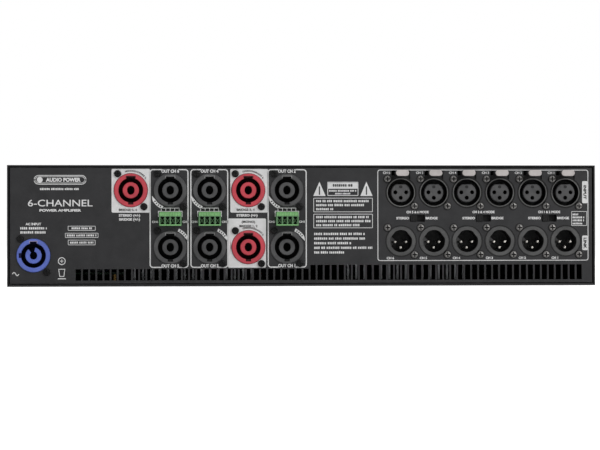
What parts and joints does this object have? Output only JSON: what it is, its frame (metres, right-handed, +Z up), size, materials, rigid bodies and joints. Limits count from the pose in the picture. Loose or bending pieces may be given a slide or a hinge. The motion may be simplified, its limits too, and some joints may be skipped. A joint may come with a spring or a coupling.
{
  "type": "power amplifier",
  "caption": "Rack power amplifier, two units high, with twist-lock outputs, round balanced inputs and links, plug-in terminals, mode switches and a vented rear.",
  "frame": {"origin": "centre of the whole part's box, on its underside", "axes": "+X to the right when facing the rear, -Y out of the rear face, +Y out of the front, +Z up"},
  "size_m": [0.4826, 0.428, 0.0881],
  "materials": {
    "case_paint": "black powder coat, fine texture",
    "panel_paint": "charcoal powder coat, fine texture",
    "print_white": "white screen print",
    "tray_paint": "black powder coat",
    "front_anodised": "black brushed and anodised",
    "handle_metal": "black satin anodised",
    "black_plastic": "moulded, fine texture",
    "filter_foam": "open-cell foam",
    "rotor_plastic": "moulded, satin",
    "sink_aluminium": "extruded, natural",
    "board_green": "solder mask",
    "copper_wire": "enamelled copper winding",
    "ferrite_core": "ferrite with taped winding",
    "capacitor_sleeve": "shrink sleeve",
    "spacer_brass": "turned",
    "ribbon_grey": "ribbed",
    "knob_plastic": "soft touch",
    "lamp_green": "diffused lens",
    "lamp_red": "diffused lens",
    "lamp_blue": "diffused lens",
    "blue_plastic": "moulded, semi-gloss",
    "socket_grey": "moulded, satin",
    "red_plastic": "moulded, semi-gloss",
    "green_plastic": "moulded, satin",
    "pin_silver": "silver plated",
    "latch_plastic": "pressed, pale",
    "screw_nickel": "nickel plated, satin",
    "screw_black": "black oxide"
  },
  "bodies": {
    "chassis": {"chassis_tray": "tray_paint", "rear_panel": "panel_paint", "top_cover": "case_paint", "front_panel": "front_anodised", "left_handle": "handle_metal", "right_handle": "handle_metal", "intake_grilles": "black_plastic", "dust_filters": "filter_foam", "left_fan_frame": "black_plastic", "right_fan_frame": "black_plastic", "heatsinks": "sink_aluminium", "amplifier_boards": "board_green", "power_transistors": "black_plastic", "output_chokes": "copper_wire", "power_supply_board": "board_green", "supply_transformer": "ferrite_core", "supply_capacitors": "capacitor_sleeve", "input_board": "board_green", "output_board": "board_green", "control_board": "board_green", "board_spacers": "spacer_brass", "signal_ribbon": "ribbon_grey", "gain_pots": "screw_nickel", "power_switch_body": "black_plastic", "signal_lamps": "lamp_green", "clip_lamps": "lamp_red", "power_lamp": "lamp_blue", "mains_inlet": "blue_plastic", "output_sockets": "socket_grey", "bridge_sockets": "red_plastic", "terminal_headers": "green_plastic", "input_sockets": "socket_grey", "link_sockets": "socket_grey", "link_pins": "pin_silver", "mode_switch_bodies": "black_plastic", "input_screws": "screw_nickel", "output_screws": "screw_black", "cover_screws": "screw_black", "front_screws": "screw_black"},
    "gain_knob_1": {"gain_knob_1": "knob_plastic"},
    "gain_knob_2": {"gain_knob_2": "knob_plastic"},
    "gain_knob_3": {"gain_knob_3": "knob_plastic"},
    "gain_knob_4": {"gain_knob_4": "knob_plastic"},
    "gain_knob_5": {"gain_knob_5": "knob_plastic"},
    "gain_knob_6": {"gain_knob_6": "knob_plastic"},
    "power_rocker": {"power_rocker": "black_plastic"},
    "mode_slider_1": {"mode_slider_1": "black_plastic"},
    "mode_slider_2": {"mode_slider_2": "black_plastic"},
    "mode_slider_3": {"mode_slider_3": "black_plastic"},
    "input_latch_1": {"input_latch_1": "latch_plastic"},
    "input_latch_2": {"input_latch_2": "latch_plastic"},
    "input_latch_3": {"input_latch_3": "latch_plastic"},
    "input_latch_4": {"input_latch_4": "latch_plastic"},
    "input_latch_5": {"input_latch_5": "latch_plastic"},
    "input_latch_6": {"input_latch_6": "latch_plastic"},
    "terminal_plug_1": {"terminal_plug_1": "green_plastic"},
    "terminal_plug_2": {"terminal_plug_2": "green_plastic"},
    "terminal_plug_3": {"terminal_plug_3": "green_plastic"},
    "left_fan_rotor": {"left_fan_rotor": "rotor_plastic"},
    "right_fan_rotor": {"right_fan_rotor": "rotor_plastic"}
  },
  "joints": [
    {"name": "gain_1_turn", "type": "hinge", "parent": "chassis", "child": "gain_knob_1", "pos_m": [0.07, 0.18, 0.034], "axis": [0, -1, 0], "range_deg": [-150, 150]},
    {"name": "gain_2_turn", "type": "hinge", "parent": "chassis", "child": "gain_knob_2", "pos_m": [0.046, 0.18, 0.034], "axis": [0, -1, 0], "range_deg": [-150, 150]},
    {"name": "gain_3_turn", "type": "hinge", "parent": "chassis", "child": "gain_knob_3", "pos_m": [0.022, 0.18, 0.034], "axis": [0, -1, 0], "range_deg": [-150, 150]},
    {"name": "gain_4_turn", "type": "hinge", "parent": "chassis", "child": "gain_knob_4", "pos_m": [-0.002, 0.18, 0.034], "axis": [0, -1, 0], "range_deg": [-150, 150]},
    {"name": "gain_5_turn", "type": "hinge", "parent": "chassis", "child": "gain_knob_5", "pos_m": [-0.026, 0.18, 0.034], "axis": [0, -1, 0], "range_deg": [-150, 150]},
    {"name": "gain_6_turn", "type": "hinge", "parent": "chassis", "child": "gain_knob_6", "pos_m": [-0.05, 0.18, 0.034], "axis": [0, -1, 0], "range_deg": [-150, 150]},
    {"name": "power_rock", "type": "hinge", "parent": "chassis", "child": "power_rocker", "pos_m": [-0.084, 0.1785, 0.04], "axis": [1, 0, 0], "range_deg": [0, 20]},
    {"name": "mode_1_slide", "type": "slide", "parent": "chassis", "child": "mode_slider_1", "axis": [1, 0, 0], "range_m": [0, 0.0055]},
    {"name": "mode_2_slide", "type": "slide", "parent": "chassis", "child": "mode_slider_2", "axis": [1, 0, 0], "range_m": [0, 0.0055]},
    {"name": "mode_3_slide", "type": "slide", "parent": "chassis", "child": "mode_slider_3", "axis": [1, 0, 0], "range_m": [0, 0.0055]},
    {"name": "latch_1_press", "type": "hinge", "parent": "chassis", "child": "input_latch_1", "pos_m": [0.1933, -0.1875, 0.0822], "axis": [1, 0, 0], "range_deg": [0, 4], "stiffness_Nm_per_rad": 0.05, "springref_deg": -2.86},
    {"name": "latch_2_press", "type": "hinge", "parent": "chassis", "child": "input_latch_2", "pos_m": [0.16894, -0.1875, 0.0822], "axis": [1, 0, 0], "range_deg": [0, 4], "stiffness_Nm_per_rad": 0.05, "springref_deg": -2.86},
    {"name": "latch_3_press", "type": "hinge", "parent": "chassis", "child": "input_latch_3", "pos_m": [0.14458, -0.1875, 0.0822], "axis": [1, 0, 0], "range_deg": [0, 4], "stiffness_Nm_per_rad": 0.05, "springref_deg": -2.86},
    {"name": "latch_4_press", "type": "hinge", "parent": "chassis", "child": "input_latch_4", "pos_m": [0.12022, -0.1875, 0.0822], "axis": [1, 0, 0], "range_deg": [0, 4], "stiffness_Nm_per_rad": 0.05, "springref_deg": -2.86},
    {"name": "latch_5_press", "type": "hinge", "parent": "chassis", "child": "input_latch_5", "pos_m": [0.09586, -0.1875, 0.0822], "axis": [1, 0, 0], "range_deg": [0, 4], "stiffness_Nm_per_rad": 0.05, "springref_deg": -2.86},
    {"name": "latch_6_press", "type": "hinge", "parent": "chassis", "child": "input_latch_6", "pos_m": [0.0715, -0.1875, 0.0822], "axis": [1, 0, 0], "range_deg": [0, 4], "stiffness_Nm_per_rad": 0.05, "springref_deg": -2.86},
    {"name": "terminal_1_pull", "type": "slide", "parent": "chassis", "child": "terminal_plug_1", "axis": [0, -1, 0], "range_m": [0, 0.012]},
    {"name": "terminal_2_pull", "type": "slide", "parent": "chassis", "child": "terminal_plug_2", "axis": [0, -1, 0], "range_m": [0, 0.012]},
    {"name": "terminal_3_pull", "type": "slide", "parent": "chassis", "child": "terminal_plug_3", "axis": [0, -1, 0], "range_m": [0, 0.012]},
    {"name": "left_fan_spin", "type": "hinge", "parent": "chassis", "child": "left_fan_rotor", "pos_m": [0.148, 0.157, 0.04405], "axis": [0, 1, 0], "continuous": true},
    {"name": "right_fan_spin", "type": "hinge", "parent": "chassis", "child": "right_fan_rotor", "pos_m": [-0.148, 0.157, 0.04405], "axis": [0, 1, 0], "continuous": true}
  ]
}
